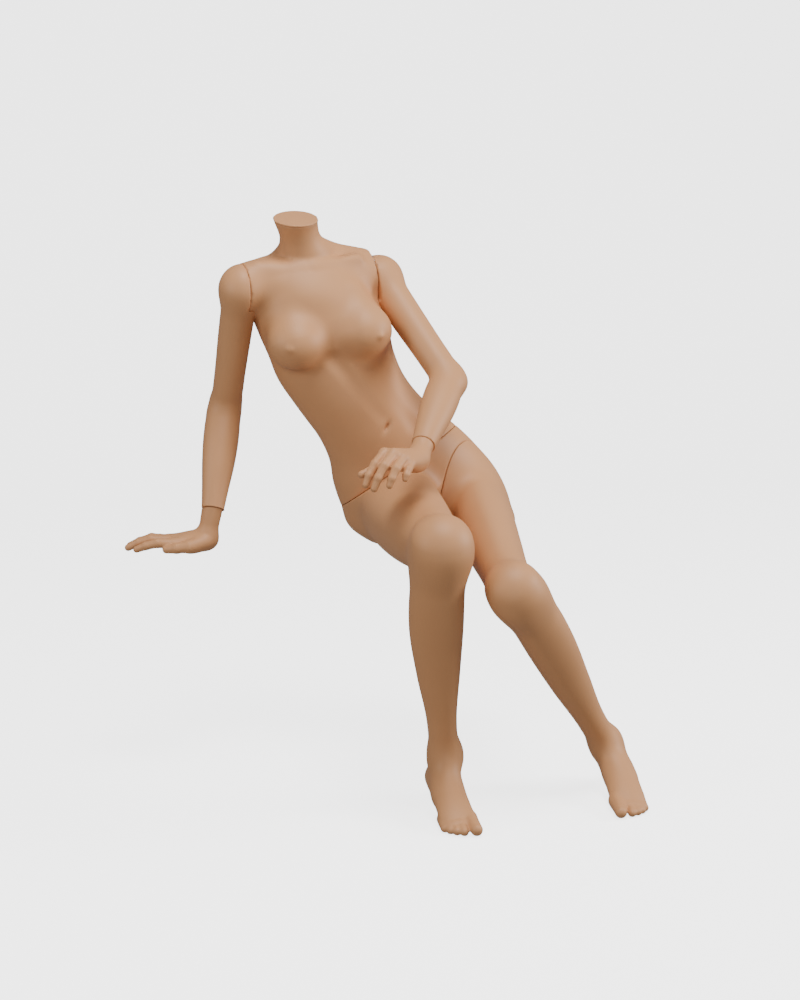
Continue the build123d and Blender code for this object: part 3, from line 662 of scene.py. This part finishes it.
def cut_seam(skin, seam, gap=SEAM_GAP):
    """Cuts away what lies beyond a seam and closes the end, with the rim bevelled."""
    normal = Vector(seam[1])
    edge = Vector(seam[0]) - normal * (gap + SEAM_ROUND)
    bmesh.ops.bisect_plane(
        skin,
        geom=skin.verts[:] + skin.edges[:] + skin.faces[:],
        plane_co=edge,
        plane_no=normal,
        clear_outer=True,
        dist=SEAM_SNAP,
    )
    skin.normal_update()

    def at_seam(vert):
        return abs((vert.co - edge).dot(normal)) < RIM_REACH

    rim = [e for e in skin.edges if e.is_boundary and all(at_seam(v) for v in e.verts)]
    rim_indices = {vert.index for e in rim for vert in e.verts}
    ring = bmesh.ops.extrude_edge_only(skin, edges=rim)["geom"]
    ring_verts = [g for g in ring if isinstance(g, bmesh.types.BMVert)]
    ring_edges = [g for g in ring if isinstance(g, bmesh.types.BMEdge)]
    extruded = set(ring_verts)
    outwards = [outward_normal(vert, rim_indices, extruded) for vert in ring_verts]
    for vert, outward in zip(ring_verts, outwards):
        outward = outward - normal * outward.dot(normal)
        has_way = outward.length > SHORTEST_NORMAL
        inset = outward.normalized() * SEAM_ROUND if has_way else Vector()
        vert.co += normal * SEAM_ROUND - inset
    bmesh.ops.edgeloop_fill(skin, edges=ring_edges, mat_nr=0, use_smooth=False)


def outward_normal(vert, rim_indices, extruded):
    """Normal of the rim's vertex that an extruded vertex hangs from, where that vertex still has
    the index it had before the extrusion, and elsewhere the extruded vertex's own."""
    normal = vert.normal
    for link in vert.link_edges:
        other = link.other_vert(vert)
        if other.index in rim_indices and other not in extruded:
            normal = other.normal
    return normal.copy()


def add_piece(name, skin, body, nodes):
    """Makes the painted object that stands for its CAD nodes and moves with its body."""
    bmesh.ops.scale(skin, vec=(MM, MM, MM), verts=skin.verts)
    mesh = bpy.data.meshes.new(name)
    skin.to_mesh(mesh)
    skin.free()
    mesh.materials.append(paint)
    piece = bpy.data.objects.new(name, mesh)
    bpy.context.scene.collection.objects.link(piece)
    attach(piece, body)
    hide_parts(*nodes)


# --- Materials


def paint_material():
    """Matt skin-tone paint: faint clouding in its colour and a fine sprayed texture."""
    material = bpy.data.materials.new("skin_paint")
    material.use_nodes = True
    nodes = material.node_tree.nodes
    links = material.node_tree.links
    shader = nodes["Principled BSDF"]
    place = nodes.new("ShaderNodeTexCoord")
    clouds = nodes.new("ShaderNodeTexNoise")
    clouds.inputs["Scale"].default_value = 5.0
    clouds.inputs["Detail"].default_value = 3.0
    tint = nodes.new("ShaderNodeValToRGB")
    tint.color_ramp.elements[0].position = 0.3
    tint.color_ramp.elements[0].color = (0.600, 0.285, 0.122, 1)
    tint.color_ramp.elements[1].position = 0.7
    tint.color_ramp.elements[1].color = (0.640, 0.310, 0.136, 1)
    spray = nodes.new("ShaderNodeTexNoise")
    spray.inputs["Scale"].default_value = 900.0
    spray.inputs["Detail"].default_value = 2.0
    gloss = nodes.new("ShaderNodeMapRange")
    gloss.inputs["To Min"].default_value = 0.50
    gloss.inputs["To Max"].default_value = 0.60
    bump = nodes.new("ShaderNodeBump")
    bump.inputs["Strength"].default_value = 0.12
    bump.inputs["Distance"].default_value = 0.0004
    links.new(place.outputs["Object"], clouds.inputs["Vector"])
    links.new(place.outputs["Object"], spray.inputs["Vector"])
    links.new(clouds.outputs["Fac"], tint.inputs["Fac"])
    links.new(tint.outputs["Color"], shader.inputs["Base Color"])
    links.new(spray.outputs["Fac"], gloss.inputs["Value"])
    links.new(gloss.outputs["Result"], shader.inputs["Roughness"])
    links.new(spray.outputs["Fac"], bump.inputs["Height"])
    links.new(bump.outputs["Normal"], shader.inputs["Normal"])
    return material


def steel_material():
    """Zinc-plated steel with a fine brushed grain."""
    material = bpy.data.materials.new("plated_steel")
    material.use_nodes = True
    nodes = material.node_tree.nodes
    links = material.node_tree.links
    shader = nodes["Principled BSDF"]
    shader.inputs["Base Color"].default_value = (0.62, 0.62, 0.63, 1)
    shader.inputs["Metallic"].default_value = 1.0
    place = nodes.new("ShaderNodeTexCoord")
    grain = nodes.new("ShaderNodeTexNoise")
    grain.inputs["Scale"].default_value = 350.0
    gloss = nodes.new("ShaderNodeMapRange")
    gloss.inputs["To Min"].default_value = 0.25
    gloss.inputs["To Max"].default_value = 0.42
    links.new(place.outputs["Object"], grain.inputs["Vector"])
    links.new(grain.outputs["Fac"], gloss.inputs["Value"])
    links.new(gloss.outputs["Result"], shader.inputs["Roughness"])
    return material


def floor_material():
    material = bpy.data.materials.new("pale_floor")
    material.use_nodes = True
    shader = material.node_tree.nodes["Principled BSDF"]
    shader.inputs["Base Color"].default_value = (0.86, 0.86, 0.86, 1)
    shader.inputs["Emission Color"].default_value = (1, 1, 1, 1)
    shader.inputs["Emission Strength"].default_value = 3.0
    shader.inputs["Roughness"].default_value = 0.7
    return material


# --- Building

paint = paint_material()
steel = steel_material()
NECK_LID_THICKNESS = 3.0
NECK_LID_GAP = 0.3
SEAT_FRONT_Y = -160


def build_torso():
    """The torso, and the lid that closes its neck."""
    trunk = collarbones(trunk_form())
    right_shoulder = shoulder_form(RIGHT_SHOULDER, RIGHT_SHOULDER_SEAM)
    left_shoulder = shoulder_form(LEFT_SHOULDER, LEFT_SHOULDER_SEAM)
    whole = union(TORSO_SHOULDER_FILLET, trunk, right_shoulder, left_shoulder)
    form = torso_side(whole, (RIGHT_SHOULDER_SEAM, LEFT_SHOULDER_SEAM))
    skin = skin_mesh(form, ["torso_shell", "neck_cap"], CELL)
    cap = skin.copy()
    cut_seam(skin, flipped(WAIST_SEAM))
    neck_edge = (NECK_SEAM[0] - NECK_SEAM[1] * NECK_LID_THICKNESS, NECK_SEAM[1])
    cut_seam(skin, neck_edge, NECK_LID_GAP)
    cut_seam(cap, flipped(neck_edge), NECK_LID_GAP)
    cut_seam(cap, NECK_SEAM, 0.0)
    add_piece("torso", skin, "torso", ["torso_shell"])
    add_piece("neck_lid", cap, "torso", ["neck_cap"])


def build_pelvis():
    """The pelvis with its right leg."""
    leg = leg_form(*RIGHT_LEG)
    whole = union(HIP_FILLET, trunk_form(), leg)

    def form(points):
        value = whole(points)
        inside = np.maximum(value, beyond(LEG_SEAM, points) + SEAM_GAP)
        return np.minimum(inside, leg(points))

    skin = skin_mesh(form, ["pelvis_right_leg_shell"], CELL)
    cut_seam(skin, WAIST_SEAM)
    level_underside(skin)
    add_piece("pelvis_right_leg", skin, "root", ["pelvis_right_leg_shell"])


def level_underside(skin):
    """Flattens the seat of the pelvis onto the seat plane."""
    for vert in skin.verts:
        if vert.co.z < 0 and vert.co.y > SEAT_FRONT_Y:
            vert.co.z = 0


def build_left_leg():
    """The left leg with its side of the hip."""
    form = union(HIP_FILLET, trunk_form(), leg_form(*LEFT_LEG))
    skin = skin_mesh(form, ["left_leg_shell"], CELL)
    cut_seam(skin, flipped(LEG_SEAM))
    cut_seam(skin, WAIST_SEAM)
    add_piece("left_leg", skin, "left_leg", ["left_leg_shell"])


def build_arm(side, joint, elbow, wrist, shoulder_seam, wrist_seam, front):
    form = arm_side(arm_form(joint, elbow, wrist, shoulder_seam, front), shoulder_seam)
    skin = skin_mesh(form, [f"{side}_arm_shell"], CELL)
    cut_seam(skin, wrist_seam)
    add_piece(f"{side}_arm", skin, f"{side}_arm", [f"{side}_arm_shell"])


def build_hand(side, wrist, fingers, thumb, seam, palm_way):
    form = hand_form(wrist, fingers, thumb, seam, palm_way)
    skin = skin_mesh(form, [f"{side}_hand"], HAND_CELL)
    cut_seam(skin, flipped(seam))
    add_piece(f"{side}_hand_skin", skin, f"{side}_hand", [f"{side}_hand"])


build_torso()
build_pelvis()
build_left_leg()
RIGHT_ARM = (RIGHT_SHOULDER, RIGHT_ELBOW, RIGHT_WRIST)
LEFT_ARM = (LEFT_SHOULDER, LEFT_ELBOW, LEFT_WRIST)
RIGHT_HAND = (RIGHT_HAND_ROOT, RIGHT_FINGERS, RIGHT_THUMB)
LEFT_HAND = (LEFT_WRIST, LEFT_FINGERS, LEFT_THUMB)
build_arm("right", *RIGHT_ARM, RIGHT_SHOULDER_SEAM, RIGHT_WRIST_SEAM, RIGHT_ARM_FRONT)
build_arm("left", *LEFT_ARM, LEFT_SHOULDER_SEAM, LEFT_WRIST_SEAM, LEFT_ARM_FRONT)
build_hand("right", *RIGHT_HAND, RIGHT_WRIST_SEAM, RIGHT_PALM_WAY)
build_hand("left", *LEFT_HAND, LEFT_WRIST_SEAM, LEFT_PALM_WAY)

for node in frame["nodes"].values():
    node.data.materials.clear()
    node.data.materials.append(steel)

# --- Stage, light and camera

STAGE_WIDTH = 24.0
STAGE_FRONT = -9.0
SWEEP_START = 2.6
SWEEP_RADIUS = 2.0
SWEEP_STEPS = 25
WALL_TOP = 8.0
WORLD_LIGHT = 0.27


def build_stage():
    """Pale floor that sweeps up into a wall behind the mannequin."""
    floor_z = FLOOR_Z * MM
    profile = [(STAGE_FRONT, floor_z)]
    for angle in np.linspace(0, np.pi / 2, SWEEP_STEPS):
        y = SWEEP_START + SWEEP_RADIUS * np.sin(angle)
        profile.append((y, floor_z + SWEEP_RADIUS * (1 - np.cos(angle))))
    profile.append((SWEEP_START + SWEEP_RADIUS, WALL_TOP))
    points = [(x, y, z) for y, z in profile for x in (-STAGE_WIDTH / 2, STAGE_WIDTH / 2)]
    faces = [(2 * i, 2 * i + 1, 2 * i + 3, 2 * i + 2) for i in range(len(profile) - 1)]
    mesh = bpy.data.meshes.new("stage")
    mesh.from_pydata(points, [], faces)
    mesh.shade_smooth()
    mesh.materials.append(floor_material())
    stage = bpy.data.objects.new("stage", mesh)
    bpy.context.scene.collection.objects.link(stage)
    stage.visible_diffuse = False
    stage.visible_glossy = False
    stage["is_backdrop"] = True


build_stage()

world = bpy.data.worlds.new("studio")
world.use_nodes = True
world.node_tree.nodes["Background"].inputs["Color"].default_value = (1, 1, 1, 1)
world.node_tree.nodes["Background"].inputs["Strength"].default_value = WORLD_LIGHT
bpy.context.scene.world = world


def soft_light(name, location, size, power):
    """Square studio light in metres and watts that faces the middle of the figure."""
    data = bpy.data.lights.new(name, "AREA")
    data.size = size
    data.energy = power
    light = bpy.data.objects.new(name, data)
    light.location = location
    direction = Vector(BODY_MIDDLE) - Vector(location)
    light.rotation_euler = direction.to_track_quat("-Z", "Y").to_euler()
    bpy.context.scene.collection.objects.link(light)


BODY_MIDDLE = (-0.1, -0.15, 0.1)
soft_light("overhead", (0.1, -1.1, 3.0), 1.1, 78)
soft_light("right_side", (3.0, -0.7, 1.2), 1.0, 72)
soft_light("left_side", (-3.0, -1.4, 1.0), 1.2, 26)
soft_light("front", (-0.4, -3.6, 0.3), 1.6, 20)

CAMERA_PLACE = (-0.6704, -3.7946, 0.8373)
CAMERA_AIM = (0.15346, 0.96893, -0.19396)
CAMERA_LENS = 74.83
CAMERA_SENSOR = 36.0
camera_data = bpy.data.cameras.new("camera")
camera_data.lens = CAMERA_LENS
camera_data.sensor_width = CAMERA_SENSOR
camera = bpy.data.objects.new("camera", camera_data)
camera.location = CAMERA_PLACE
camera.rotation_euler = Vector(CAMERA_AIM).to_track_quat("-Z", "Y").to_euler()
bpy.context.scene.collection.objects.link(camera)
bpy.context.scene.camera = camera

sizes = {name: [list(corner) for corner in box] for name, box in (("cad", cad_bounds), ("visual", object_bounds()))}
